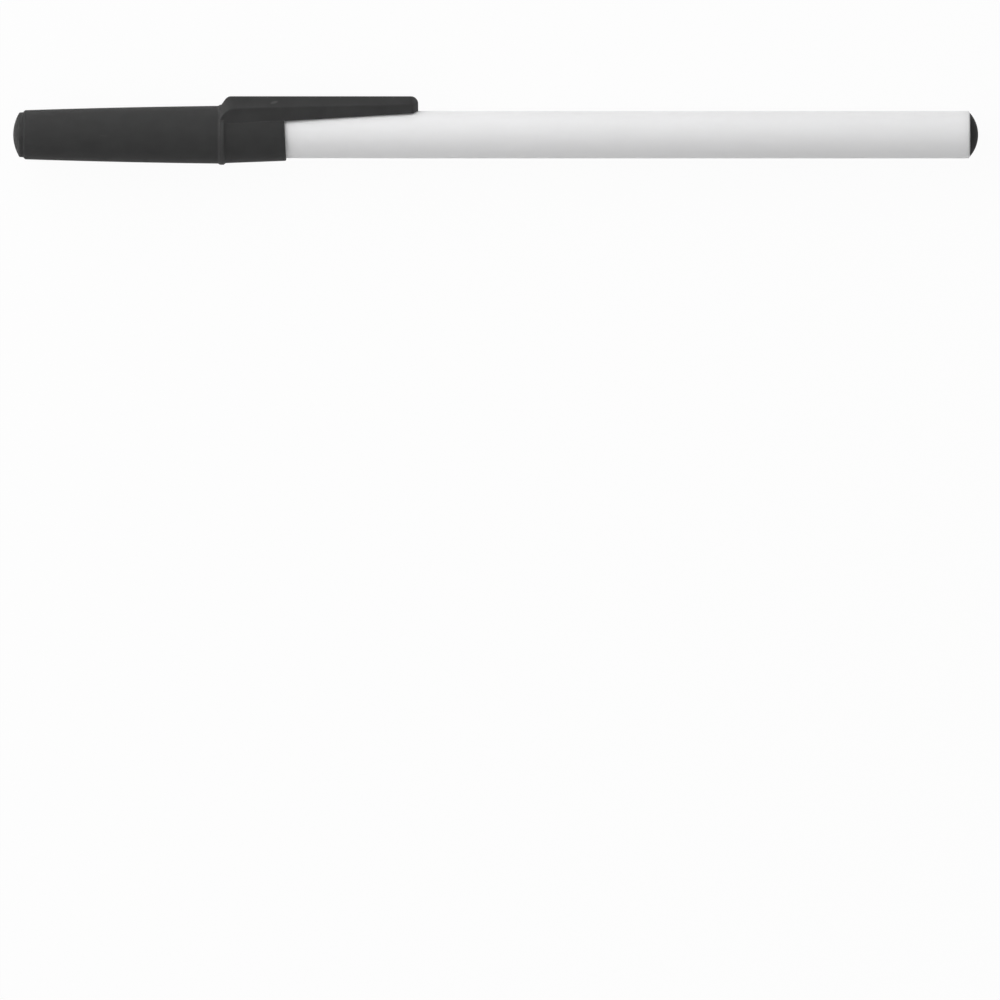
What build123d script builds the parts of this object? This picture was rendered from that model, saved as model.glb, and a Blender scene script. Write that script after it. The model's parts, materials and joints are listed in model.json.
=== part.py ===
from build123d import *
import os
from math import cos, radians, sin, sqrt, tan

# Stick ballpoint pen with its cap on, lying on a table with the clip to one side.
# +X runs from the cap's closed end to the end plug, +Y is the clip's side and +Z is up.
# The origin is on the table, straight below the middle of the pen's axis.
# Lengths are in millimetres and angles in degrees.

# Whole pen
pen_length = 149.0  # cap on, from dome to dome
press_gap = 0.02  # left all round between pieces that are pressed together

# Barrel: a straight tube whose front stretch, under the cap and clip, has moulding draft
barrel_radius = 3.66
barrel_wall = 1.0
barrel_draft = 0.06  # radius lost between the straight stretch and the front end
barrel_front_edge = 0.2  # chamfer that leads into the cap
barrel_rim_depth = 0.26  # chamfer at the rear edge, inwards
barrel_rim_length = 0.2  # and along the barrel
straight_margin = 1.5  # from the clip's tip to the start of the straight stretch

# End plug
end_dome_height = 1.3
end_shank_length = 5.0
shank_edge = 0.4  # chamfer on the inner end of both plugs' shanks

# Cap shell, measured back from its mouth
cap_length = 42.0  # along the axis, dome included
mouth_slant = 2.5  # how far the mouth's plane leans back on the clip's side
mouth_trim = 0.2  # least length that the slanted cut takes off the skirt
skirt_depth = 9.05  # from the mouth to the shoulder that the barrel stops at
skirt_mouth_wall = 0.33
skirt_root_wall = 0.69
cap_clearance = 0.04  # barrel to skirt, all round
cap_seat_width = 0.25  # how far the shoulder reaches in over the barrel's end
cap_seat_gap = 0.05
collar_to_mouth = 10.35
collar_width = 1.15
collar_edge = 0.28  # slope on each side of the collar, along the cap
collar_height = 0.185
skirt_step = 0.075  # how far the body stands proud of the skirt, at the collar
cap_end_radius = 3.8
cap_end_wall = 0.82
cap_end_edge_depth = 0.3  # chamfer round the closed end, inwards
cap_end_edge_length = 0.3  # and along the cap
cap_bulge = 0.08  # how far the body swells past a straight taper

# Cap plug: a dome on a short neck, with a shank in the shell's closed end
cap_dome_height = 0.96
cap_neck_length = 0.59
cap_neck_draft = 0.05
cap_neck_step = 0.31  # from the shell's edge in to the neck
cap_shank_length = 3.2

# Clip: a bevelled wedge with a hollow underside that follows the barrel
clip_reach = 20.57  # past the mouth
clip_thickness = 2.22  # at the middle, from the hollow to the flat top
clip_gap = 0.06  # hollow to barrel
clip_inset = 0.27  # from the skirt's surface at the collar in to the side faces
clip_root_foot = 1.46  # height above the axis where the side faces end, at the collar
clip_tip_foot = 3.3  # and at the tip
clip_tip_width = 3.9
bevel_root = 1.89
bevel_tip = 1.2
top_ramp_sink = 0.16  # how deep the flat top's ramp starts below the collar's crest
top_ramp_angle = 54.0
top_ramp_round = 1.0
top_tip_round = 1.13
side_ramp_sink = 0.39  # and the same for the side faces
side_ramp_angle = 62.0
side_ramp_round = 2.6
side_tip_round = 0.4
side_tip_setback = 0.9  # from the tip back to the end of the flat side faces

# Brass point and its ball
ball_radius = 0.5
ball_clearance = 0.01
ball_stand_out = 0.28  # how much of the ball shows past the lip
point_room = 5.7  # free space from the ball to the cap's plug
point_lip_wall = 0.15
point_cone_length = 3.4
point_body_radius = 1.15
point_body_length = 1.5
point_shank_radius = 1.0
point_shank_length = 5.5
feed_radius = 0.35

# Nose cone
nose_room = 0.2  # from the nose's base out to the cap's bore
nose_base_length = 1.4
nose_tip_wall = 0.3  # around the point's body
nose_bulge = 0.25  # how far the nose swells past a straight taper
nose_spigot_length = 9.0
nose_passage_radius = 0.6
socket_depth = 7.0

# Ink tube and ink
tube_radius = 1.5
tube_wall = 0.45
tube_rear_room = 3.6  # from the tube's rear end to the end plug
ink_gap = 0.02  # ink to the walls round it
ink_empty_length = 16.0  # air left in the tube behind the ink
ink_ball_gap = 0.05

# Radii worked out from the sizes above
barrel_bore = barrel_radius - barrel_wall
barrel_front_radius = barrel_radius - barrel_draft
end_dome_radius = barrel_radius - barrel_rim_depth
plug_shank_radius = barrel_bore - press_gap
skirt_bore = barrel_radius + cap_clearance
skirt_mouth_radius = skirt_bore + skirt_mouth_wall
skirt_root_radius = skirt_bore + skirt_root_wall
body_front_radius = skirt_root_radius + skirt_step
collar_radius = body_front_radius + collar_height
shoulder_bore = barrel_front_radius - cap_seat_width
cap_end_bore = cap_end_radius - cap_end_wall
cap_neck_radius = cap_end_radius - cap_neck_step
cap_dome_radius = cap_neck_radius - cap_neck_draft
clip_hollow_radius = barrel_radius + clip_gap
clip_top = clip_hollow_radius + clip_thickness
socket_radius = ball_radius + ball_clearance
nose_base_radius = shoulder_bore - nose_room
nose_tip_radius = point_body_radius + nose_tip_wall
tube_bore = tube_radius - tube_wall

# Stations along the pen, from the cap's closed end to the end plug
cap_end_x = -pen_length / 2
cap_dome_x = cap_end_x + cap_dome_height
shell_end_x = cap_dome_x + cap_neck_length
cap_shank_x = shell_end_x + cap_shank_length
ball_x = cap_shank_x + point_room + ball_radius
lip_x = ball_x - ball_radius + ball_stand_out
point_body_x = lip_x + point_cone_length
nose_tip_x = point_body_x + point_body_length
point_shank_x = nose_tip_x + point_shank_length
mouth_x = cap_end_x + cap_length
collar_x = mouth_x - collar_to_mouth
shoulder_x = mouth_x - skirt_depth
barrel_front_x = shoulder_x + cap_seat_gap
nose_rear_x = barrel_front_x + nose_spigot_length
socket_x = nose_rear_x - socket_depth
clip_tip_x = mouth_x + clip_reach
straight_x = clip_tip_x + straight_margin
rear_end_x = pen_length / 2
barrel_rear_x = rear_end_x - end_dome_height
end_shank_x = barrel_rear_x - end_shank_length
tube_rear_x = end_shank_x - tube_rear_room
ink_rear_x = tube_rear_x - ink_empty_length

# The pen rests on its collar, and every round piece is turned about the same axis.
axis_height = collar_radius
pen_plane = Plane.XY.offset(axis_height)
pen_axis = Axis((0, 0, axis_height), (1, 0, 0))
cross_plane = Plane((0, 0, axis_height), x_dir=(0, 1, 0), z_dir=(1, 0, 0))
mouth_plane = Plane(
    (mouth_x, 0, axis_height),
    x_dir=(0, 0, 1),
    z_dir=(cos(radians(mouth_slant)), sin(radians(mouth_slant)), 0),
)

os.makedirs("parts", exist_ok=True)

# Barrel
with BuildPart() as barrel:
    with BuildSketch(pen_plane):
        with BuildLine():
            Polyline(
                (barrel_front_x, barrel_bore),
                (barrel_front_x, barrel_front_radius - barrel_front_edge),
                (barrel_front_x + barrel_front_edge, barrel_front_radius),
                (straight_x, barrel_radius),
                (barrel_rear_x - barrel_rim_length, barrel_radius),
                (barrel_rear_x, end_dome_radius),
                (barrel_rear_x, barrel_bore),
                close=True,
            )
        make_face()
    revolve(axis=pen_axis)
barrel.part.label = "barrel"
export_step(barrel.part, "parts/barrel.step")

# End plug
with BuildPart() as end_plug:
    with BuildSketch(pen_plane):
        with BuildLine():
            dome = TangentArc(
                (rear_end_x, 0), (barrel_rear_x, end_dome_radius), tangent=(0, 1)
            )
            Polyline(
                dome @ 1,
                (barrel_rear_x, plug_shank_radius),
                (end_shank_x + shank_edge, plug_shank_radius),
                (end_shank_x, plug_shank_radius - shank_edge),
                (end_shank_x, 0),
                dome @ 0,
            )
        make_face()
    revolve(axis=pen_axis)
end_plug.part.label = "end_plug"
export_step(end_plug.part, "parts/end_plug.step")

# Nose cone, with a spigot in the barrel, a bore for the point and a socket for the tube
with BuildPart() as nose_cone:
    point_bore = point_shank_radius + press_gap
    tube_socket = tube_radius + press_gap
    nose_base_x = barrel_front_x - nose_base_length
    swell_x = (nose_base_x + nose_tip_x) / 2
    swell_radius = (nose_base_radius + nose_tip_radius) / 2 + nose_bulge
    with BuildSketch(pen_plane):
        with BuildLine():
            nose = ThreePointArc(
                (nose_base_x, nose_base_radius),
                (swell_x, swell_radius),
                (nose_tip_x, nose_tip_radius),
            )
            Polyline(
                nose @ 1,
                (nose_tip_x, point_bore),
                (point_shank_x, point_bore),
                (point_shank_x, nose_passage_radius),
                (socket_x, nose_passage_radius),
                (socket_x, tube_socket),
                (nose_rear_x, tube_socket),
                (nose_rear_x, plug_shank_radius),
                (barrel_front_x, plug_shank_radius),
                (barrel_front_x, nose_base_radius),
                nose @ 0,
            )
        make_face()
    revolve(axis=pen_axis)
nose_cone.part.label = "nose_cone"
export_step(nose_cone.part, "parts/nose_cone.step")

# Brass point: the lip closes in past the ball's widest place, so the ball can't fall out
with BuildPart() as brass_point:
    lip_bore = sqrt(socket_radius**2 - (ball_x - lip_x) ** 2)
    seat_x = ball_x + sqrt(socket_radius**2 - feed_radius**2)
    with BuildSketch(pen_plane):
        with BuildLine():
            seat = ThreePointArc(
                (seat_x, feed_radius), (ball_x, socket_radius), (lip_x, lip_bore)
            )
            Polyline(
                seat @ 1,
                (lip_x, lip_bore + point_lip_wall),
                (point_body_x, point_body_radius),
                (nose_tip_x, point_body_radius),
                (nose_tip_x, point_shank_radius),
                (point_shank_x, point_shank_radius),
                (point_shank_x, feed_radius),
                seat @ 0,
            )
        make_face()
    revolve(axis=pen_axis)
brass_point.part.label = "brass_point"
export_step(brass_point.part, "parts/brass_point.step")

# Writing ball
with BuildPart() as writing_ball:
    with Locations((ball_x, 0, axis_height)):
        Sphere(ball_radius)
writing_ball.part.label = "writing_ball"
export_step(writing_ball.part, "parts/writing_ball.step")

# Ink tube
with BuildPart() as ink_tube:
    with BuildSketch(cross_plane.offset(socket_x)):
        Circle(tube_radius)
        Circle(tube_bore, mode=Mode.SUBTRACT)
    extrude(amount=tube_rear_x - socket_x)
ink_tube.part.label = "ink_tube"
export_step(ink_tube.part, "parts/ink_tube.step")

# Ink, from just behind the ball through the point and the nose cone into the tube
with BuildPart() as ink:
    ink_front_x = ball_x + ball_radius + ink_ball_gap
    with BuildSketch(pen_plane):
        with BuildLine():
            Polyline(
                (ink_front_x, 0),
                (ink_front_x, feed_radius - ink_gap),
                (point_shank_x, feed_radius - ink_gap),
                (point_shank_x, nose_passage_radius - ink_gap),
                (socket_x, nose_passage_radius - ink_gap),
                (socket_x, tube_bore - ink_gap),
                (ink_rear_x, tube_bore - ink_gap),
                (ink_rear_x, 0),
                close=True,
            )
        make_face()
    revolve(axis=pen_axis)
ink.part.label = "ink"
export_step(ink.part, "parts/ink.step")

# Clip outline: its side faces and its flat top are two outlines of the same few edges,
# each on an upright plane that draws in towards the tip, and the bevels join them.
clip_root_x = collar_x
clip_length = clip_tip_x - clip_root_x
side_root = skirt_root_radius - clip_inset
side_tip = clip_tip_width / 2
flat_root = side_root - bevel_root
flat_tip = side_tip - bevel_tip


def clip_plane(side, root_half, tip_half):
    """Upright plane along the clip, root_half from the pen's axis at the root and tip_half at the tip."""
    spread = side * (tip_half - root_half)
    return Plane(
        (clip_root_x, 0, axis_height + side * root_half),
        x_dir=(clip_length, 0, spread),
        z_dir=(-spread, 0, clip_length),
    )


def clip_outline(root_half, sink, ramp_angle, bevel_at_root, bevel_at_tip, setback):
    """Root, knee, tip and foot of an outline, bevel_at_root to bevel_at_tip below the flat top."""
    start = sqrt(collar_radius**2 - root_half**2) - sink
    slope = (bevel_at_root - bevel_at_tip) / clip_length
    knee = (clip_top - bevel_at_root - start) / (tan(radians(ramp_angle)) - slope)
    tip = clip_length - setback
    foot = clip_root_foot + (clip_tip_foot - clip_root_foot) * tip / clip_length
    return (
        (0, start),
        (knee, clip_top - bevel_at_root + slope * knee),
        (tip, clip_top - bevel_at_root + slope * tip),
        (tip, foot),
    )


flat_points = clip_outline(flat_root, top_ramp_sink, top_ramp_angle, 0, 0, 0)
side_points = clip_outline(
    side_root, side_ramp_sink, side_ramp_angle, bevel_root, bevel_tip, side_tip_setback
)
flat_rounds = (top_ramp_round, top_tip_round)
side_rounds = (side_ramp_round, side_tip_round)
clip_sections = (
    (clip_plane(-1, side_root, side_tip), side_points, side_rounds),
    (clip_plane(-1, flat_root, flat_tip), flat_points, flat_rounds),
    (clip_plane(1, flat_root, flat_tip), flat_points, flat_rounds),
    (clip_plane(1, side_root, side_tip), side_points, side_rounds),
)

# The clip's wedge, from the collar to the tip, before it is bored and cut at the mouth
with BuildPart() as wedge:
    for plane, points, rounds in clip_sections:
        with BuildSketch(plane):
            with BuildLine():
                FilletPolyline(*points, radius=rounds)
                Polyline(points[-1], (0, clip_root_foot), points[0])
            make_face()
    loft(ruled=True)

# Clip arm: the part of the wedge past the mouth
with BuildPart() as clip:
    add(wedge.part)
    split(bisect_by=mouth_plane, keep=Keep.TOP)
    with BuildSketch(cross_plane.offset(shoulder_x)):
        Circle(clip_hollow_radius)
    extrude(amount=straight_x - shoulder_x, mode=Mode.SUBTRACT)
clip.part.label = "clip"
export_step(clip.part, "parts/clip.step")

# Cap shell: body, collar and skirt, with the clip's root, bored out and cut at the mouth
with BuildPart() as cap_shell:
    body_x = shell_end_x + cap_end_edge_length
    swell_x = (body_x + collar_x) / 2
    swell_radius = (cap_end_radius + body_front_radius) / 2 + cap_bulge
    skirt_x = collar_x + collar_width
    skirt_taper = (skirt_root_radius - skirt_mouth_radius) / (mouth_x - skirt_x)
    skirt_spare = skirt_root_radius * tan(radians(mouth_slant)) + mouth_trim
    with BuildSketch(pen_plane):
        with BuildLine():
            body = ThreePointArc(
                (body_x, cap_end_radius),
                (swell_x, swell_radius),
                (collar_x, body_front_radius),
            )
            Polyline(
                body @ 1,
                (collar_x + collar_edge, collar_radius),
                (skirt_x - collar_edge, collar_radius),
                (skirt_x, skirt_root_radius),
                (mouth_x + skirt_spare, skirt_mouth_radius - skirt_taper * skirt_spare),
                (mouth_x + skirt_spare, 0),
                (shell_end_x, 0),
                (shell_end_x, cap_end_radius - cap_end_edge_depth),
                body @ 0,
            )
        make_face()
    revolve(axis=pen_axis)
    add(wedge.part)
    split(bisect_by=mouth_plane, keep=Keep.BOTTOM)
    with BuildSketch(pen_plane):
        with BuildLine():
            Polyline(
                (shell_end_x, 0),
                (shell_end_x, cap_end_bore),
                (cap_shank_x + shank_edge, cap_end_bore),
                (shoulder_x, shoulder_bore),
                (shoulder_x, skirt_bore),
                (mouth_x + skirt_spare, skirt_bore),
                (mouth_x + skirt_spare, 0),
                close=True,
            )
        make_face()
    revolve(axis=pen_axis, mode=Mode.SUBTRACT)
cap_shell.part.label = "cap_shell"
export_step(cap_shell.part, "parts/cap_shell.step")

# Cap plug
with BuildPart() as cap_plug:
    cap_shank_radius = cap_end_bore - press_gap
    with BuildSketch(pen_plane):
        with BuildLine():
            dome = TangentArc(
                (cap_end_x, 0), (cap_dome_x, cap_dome_radius), tangent=(0, 1)
            )
            Polyline(
                dome @ 1,
                (shell_end_x, cap_neck_radius),
                (shell_end_x, cap_shank_radius),
                (cap_shank_x - shank_edge, cap_shank_radius),
                (cap_shank_x, cap_shank_radius - shank_edge),
                (cap_shank_x, 0),
                dome @ 0,
            )
        make_face()
    revolve(axis=pen_axis)
cap_plug.part.label = "cap_plug"
export_step(cap_plug.part, "parts/cap_plug.step")
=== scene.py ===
"""Stick ballpoint pen with its cap on, dressed around its packed solids.

Round pieces are turned from profiles about the pen's axis. The cap and its clip are one moulding.
Lengths are in metres, in the frame of the packed part: +X runs from
the cap's closed end to the end plug, +Y is the clip's side and +Z is up.
"""

import json
import math

import bmesh
import bpy
from mathutils import Matrix, Vector


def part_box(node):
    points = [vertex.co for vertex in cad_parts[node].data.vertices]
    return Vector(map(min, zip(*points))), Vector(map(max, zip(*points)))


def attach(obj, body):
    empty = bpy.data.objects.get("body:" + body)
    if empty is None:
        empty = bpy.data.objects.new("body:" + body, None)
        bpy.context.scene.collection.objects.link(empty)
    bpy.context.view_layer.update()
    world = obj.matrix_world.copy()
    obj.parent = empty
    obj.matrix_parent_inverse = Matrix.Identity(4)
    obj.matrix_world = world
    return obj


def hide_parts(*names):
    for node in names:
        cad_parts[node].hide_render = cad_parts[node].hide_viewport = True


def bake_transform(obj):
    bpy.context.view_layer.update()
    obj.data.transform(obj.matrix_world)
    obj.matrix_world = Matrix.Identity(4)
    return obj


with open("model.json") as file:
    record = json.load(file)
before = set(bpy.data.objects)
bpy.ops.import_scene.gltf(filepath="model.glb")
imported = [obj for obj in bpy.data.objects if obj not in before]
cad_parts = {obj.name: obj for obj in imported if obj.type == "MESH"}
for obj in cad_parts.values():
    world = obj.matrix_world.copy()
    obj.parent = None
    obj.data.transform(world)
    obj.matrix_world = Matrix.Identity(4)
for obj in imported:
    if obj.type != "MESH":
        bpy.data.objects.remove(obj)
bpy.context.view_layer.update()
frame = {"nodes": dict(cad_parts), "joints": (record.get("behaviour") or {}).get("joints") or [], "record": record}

bl_info = {
    "name": "Stick ballpoint pen",
    "version": (1, 0, 0),
    "blender": (4, 5, 0),
    "location": "View3D > Sidebar > Pen",
    "description": "Builds a capped stick ballpoint pen piece by piece, with its finishes and its stage",
    "category": "Object",
}

MM = 0.001
WELD = 1e-7  # vertices nearer than this are one
TURN_STEPS = 128  # facets round the pen's axis
ROUND_STEPS = 4  # facets across a rounded corner
EDGE_STEPS = 3  # facets across a rounded edge of the clip
SWELL_STEPS = 16  # facets along a gentle curve
DOME_STEPS = 24
BALL_STEPS = 32  # facets from pole to pole
FLOOR_STEPS = 96
SHARP_ANGLE = math.radians(22)
BORE_SPARE = 1.0 * MM  # how far the boring tool sticks out at both ends
MOUTH_STEP = 0.02 * MM  # how far past the mouth the tool widens to the clip's hollow


def reach(node):
    """Where a round node starts and ends along the pen, and its largest radius."""
    low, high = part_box(node)
    return low.x, high.x, (high.z - low.z) / 2


barrel_front, barrel_rear, barrel_radius = reach("barrel")
end_shank, rear_end, end_head_radius = reach("end_plug")
cap_end, cap_shank, cap_neck_radius = reach("cap_plug")
shell_end, _, collar_radius = reach("cap_shell")
nose_tip, nose_rear, nose_base_radius = reach("nose_cone")
point_lip, point_rear, point_radius = reach("brass_point")
tube_front, _, tube_radius = reach("ink_tube")
_, clip_tip, _ = reach("clip")
ball_low, ball_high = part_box("writing_ball")
ball_place = (ball_low + ball_high) / 2
ball_radius = (ball_high.x - ball_low.x) / 2
axis_height = ball_place.z

joints = {joint["name"]: joint for joint in frame["joints"]}
mounts = {mount["name"]: mount for mount in frame["record"]["mounts"]}
clip_hinge = Vector(joints["clip_flex"]["pos_m"])
clip_top = clip_hinge.y
shank_mount = mounts["barrel_shank"]
straight_start = shank_mount["pos_m"][0] - shank_mount["dims"]["length_mm"] * MM / 2


def span(name, description, metres):
    """A length, given in metres."""
    return bpy.props.FloatProperty(
        name=name,
        description=description,
        default=metres,
        min=0.0,
        precision=5,
        unit="LENGTH",
        subtype="DISTANCE",
    )


def length(name, description, millimetres):
    """A length, given in millimetres."""
    return span(name, description, millimetres * MM)


def angle(name, description, degrees):
    """An angle, given in degrees."""
    return bpy.props.FloatProperty(
        name=name,
        description=description,
        default=math.radians(degrees),
        unit="ROTATION",
        subtype="ANGLE",
    )


def amount(name, description, default):
    """A plain number from nothing up."""
    return bpy.props.FloatProperty(
        name=name, description=description, default=default, min=0.0, subtype="FACTOR"
    )


def colour(name, description, default):
    """A surface colour, in linear light."""
    return bpy.props.FloatVectorProperty(
        name=name, description=description, default=default, min=0.0, max=1.0, size=3, subtype="COLOR"
    )


class PenBarrelSettings(bpy.types.PropertyGroup):
    """Sizes and colour of the barrel"""

    radius: span("Radius", "Outer radius of the straight stretch", barrel_radius)
    wall: length("Wall", "Thickness of the tube", 1.0)
    draft: length("Draft", "Radius lost between the straight stretch and the front end", 0.06)
    front_edge: length("Front edge", "Chamfer that leads into the cap", 0.2)
    rim_depth: length("Rim depth", "Chamfer at the rear edge, inwards", 0.26)
    rim_length: length("Rim length", "Chamfer at the rear edge, along the barrel", 0.2)
    edge_round: length("Edge round", "Rounding of the tube's edges", 0.035)
    white: colour("White", "Colour of the barrel's plastic", (0.885, 0.885, 0.895))


class PenPlugSettings(bpy.types.PropertyGroup):
    """Sizes and colour of the two domed plugs"""

    press_gap: length("Press gap", "Left all round the shank in its bore", 0.02)
    shank_edge: length("Shank edge", "Chamfer on the inner end of the shank", 0.4)
    edge_round: length("Edge round", "Rounding of the dome's rim", 0.09)
    neck_length: length("Neck length", "From the cap's closed end out to the dome's rim", 0.59)
    neck_draft: length("Neck draft", "Radius lost along the neck", 0.05)
    # The neck's band is painted light, which lifts the shade in the recess between the dome and the shell.
    neck_light_half: length("Neck rub", "Half the width of the band that is rubbed on the neck", 0.40)
    neck_light_tone: amount("Neck tone", "How many times lighter the rubbed neck is", 1.35)
    black: colour("Black", "Colour of the plugs' plastic", (0.037, 0.037, 0.037))


class PenRefillSettings(bpy.types.PropertyGroup):
    """Sizes and colours of the nose cone, the point, its ball, the tube and the ink"""

    nose_base_length: length("Nose base", "Straight stretch in front of the barrel", 1.4)
    nose_tip_wall: length("Nose tip wall", "Plastic around the point's body", 0.3)
    nose_bulge: length("Nose bulge", "How far the nose swells past a straight taper", 0.25)
    passage_radius: length("Passage", "Radius of the ink passage in the nose", 0.6)
    press_gap: length("Press gap", "Left all round pieces that are pressed in", 0.02)
    edge_round: length("Edge round", "Rounding of the nose's edges", 0.12)
    cone_length: length("Cone length", "Tapered stretch of the point", 3.4)
    shank_radius: length("Shank radius", "Radius of the point inside the nose", 1.0)
    feed_radius: length("Feed radius", "Radius of the point's ink hole", 0.35)
    lip_wall: length("Lip wall", "Brass around the ball at the lip", 0.15)
    crimp_length: length("Crimp length", "Stretch at the lip that is rolled over the ball", 0.42)
    crimp_depth: length("Crimp depth", "How far the rolled stretch lies below the cone", 0.05)
    ball_clearance: length("Ball clearance", "Left round the ball in its socket", 0.01)
    brass: colour("Brass", "Colour of the point", (0.72, 0.53, 0.24))
    ball: colour("Ball", "Colour of the ball", (0.62, 0.63, 0.65))
    tube: colour("Tube", "Colour of the ink tube", (0.86, 0.88, 0.90))
    ink: colour("Ink", "Colour of the ink", (0.012, 0.012, 0.018))


class PenCapSettings(bpy.types.PropertyGroup):
    """Sizes and colour of the cap's shell"""

    mouth_slant: angle("Mouth slant", "How far the mouth leans back on the clip's side", 2.5)
    skirt_depth: length("Skirt depth", "From the mouth in to the shoulder that the barrel stops at", 9.05)
    skirt_bore: length("Skirt bore", "Radius of the bore round the barrel", 3.70)
    mouth_wall: length("Mouth wall", "Thickness of the skirt at its mouth", 0.33)
    root_wall: length("Root wall", "Thickness of the skirt at the collar", 0.69)
    lip_round: length("Lip round", "Rounding of the mouth's outer edge", 0.22)
    lip_flare: length("Lip flare", "Chamfer of the mouth's inner edge", 0.08)
    seat_bore: length("Seat bore", "Radius of the bore at the shoulder", 3.35)
    collar_to_mouth: length("Collar to mouth", "From the collar's near edge to the mouth", 10.35)
    collar_width: length("Collar width", "Width of the raised ring", 1.15)
    collar_edge: length("Collar edge", "Slope on each side of the ring", 0.28)
    collar_height: length("Collar height", "How far the ring stands up from the body", 0.185)
    collar_round: length("Collar round", "Rounding of the ring's crest", 0.12)
    end_radius: length("End radius", "Radius at the closed end", 3.8)
    end_wall: length("End wall", "Thickness at the closed end", 0.82)
    end_edge_depth: length("End edge depth", "Chamfer round the closed end, inwards", 0.3)
    end_edge_length: length("End edge length", "Chamfer round the closed end, along the cap", 0.3)
    bulge: length("Bulge", "How far the body swells past a straight taper", 0.08)
    edge_round: length("Edge round", "Rounding of the ring's foot and the closed end", 0.08)
    # The ring's band is a painted highlight along its crest, which stops below the clip.
    highlight_middle: length("Painted middle", "From the ring's near edge to the middle of its lit band", 0.70)
    highlight_half: length("Painted half width", "Half the width of the ring's lit band", 0.56)
    highlight_end: length("Painted end", "Height above the axis where the lit band ends, below the clip", 2.4)
    highlight_tone: amount("Painted tone", "How many times lighter the lit band is", 1.5)
    # Round the closed end, painted shade darkens the chamfer, which faces the end light, and the rim beside it.
    seam_shade_half: length("Seam half width", "Half the width of the shade round the closed end", 0.35)
    seam_shade_tone: amount("Seam tone", "How light that shade is, with one for the cap itself", 0.72)
    black: colour("Black", "Colour of the cap's plastic", (0.041, 0.041, 0.041))


class PenClipSettings(bpy.types.PropertyGroup):
    """Sizes of the cap's clip"""

    gap: length("Gap", "From the clip's hollow to the barrel", 0.06)
    inset: length("Inset", "From the skirt's surface at the collar in to the side faces", 0.27)
    root_foot: length("Root foot", "Height above the axis where the sides end, at the collar", 1.46)
    tip_foot: length("Tip foot", "Height above the axis where the sides end, at the tip", 3.30)
    tip_width: length("Tip width", "Width across the side faces at the tip", 3.90)
    bevel_root: length("Root bevel", "Size of the bevel at the collar", 1.89)
    bevel_tip: length("Tip bevel", "Size of the bevel at the tip", 1.2)
    top_sink: length("Top sink", "How deep the top's ramp starts below the collar's crest", 0.16)
    top_ramp: angle("Top ramp", "Slope of the top's ramp", 54.0)
    top_ramp_round: length("Top ramp round", "Radius where the ramp meets the flat top", 1.0)
    top_tip_round: length("Top tip round", "Radius where the flat top turns down", 1.13)
    side_sink: length("Side sink", "How deep the sides' ramp starts below the collar's crest", 0.39)
    side_ramp: angle("Side ramp", "Slope of the sides' ramp", 62.0)
    side_ramp_round: length("Side ramp round", "Radius where the ramp meets the side's top edge", 2.6)
    side_tip_round: length("Side tip round", "Radius at the far end of the side's top edge", 0.4)
    side_setback: length("Side setback", "From the tip back to the end of the side faces", 0.9)
    edge_round: length("Edge round", "Rounding along the clip's edges", 0.12)
    loop_gap: length("Loop gap", "Spacing of the edge loops along the clip", 0.8)
    # The mark is a small lighter patch on the bevel.
    mark_setback: length("Mark setback", "From the mouth back to the bevel's rub mark", 1.66)
    mark_drop: length("Mark drop", "From the flat top down to the bevel's rub mark", 0.95)
    mark_length: length("Mark length", "Length of the bevel's rub mark", 1.45)
    mark_width: length("Mark width", "Width of the bevel's rub mark", 0.5)
    mark_lean: angle("Mark lean", "How far the rub mark leans up towards the tip", 14.0)
    mark_tone: amount("Mark tone", "How many times lighter the rub mark is", 1.6)
    # The tip's lighter end is painted light, standing for light thrown up onto it from the white barrel.
    tip_light_reach: length("Painted tip", "How far back from its end the tip is lit", 1.1)
    tip_light_tone: amount("Painted tip tone", "How many times lighter the lit tip is", 1.85)
    flex_start: length("Flex start", "From the mouth to where the clip starts to bend", 0.3)
    flex_length: length("Flex length", "Stretch that bends when the clip lifts", 4.5)


class PenStageSettings(bpy.types.PropertyGroup):
    """Camera, light and floor"""

    camera_distance: span("Camera distance", "From the camera down to the pen's axis", 3.0)
    view_width: length("View width", "Width of the picture at the pen", 154.41)
    view_side: length("View side", "How far the picture's middle lies along the pen", 0.67)
    view_drop: length("View drop", "How far the picture's middle lies below the pen", 56.40)
    fill: amount("Fill", "Light from all round", 0.50)
    end_light: amount("End light", "Light from the cap's end", 0.58)
    end_tilt: angle("End light tilt", "How far the end light leans from straight above", 63.0)
    end_distance: span("End light distance", "From the pen's middle to the end light", 0.8)
    side_light: amount("Side light", "Light from the clip's side", 0.46)
    side_tilt: angle("Side light tilt", "How far the side light leans from straight above", 62.0)
    side_turn: angle("Side light turn", "How far the side light turns towards the cap's end", 35.0)
    side_distance: span("Side light distance", "From the pen's middle to the side light", 1.0)
    box_size: span("Soft box size", "Side of each light's square face", 0.6)
    floor_radius: span("Floor radius", "Radius of the pale floor", 8.0)
    floor_glow: amount("Floor glow", "Share of the floor that is plain white to the eye", 0.95)
    floor_colour: colour("Floor colour", "Colour of the floor under the light", (0.7, 0.7, 0.7))


def round_off(bm, geom, size, steps, affect):
    """Rounds off corners, which are vertices, or edges."""
    bmesh.ops.bevel(
        bm,
        geom=geom,
        offset=size,
        offset_type="OFFSET",
        segments=steps,
        profile=0.5,
        affect=affect,
        material=-1,
    )


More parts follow.
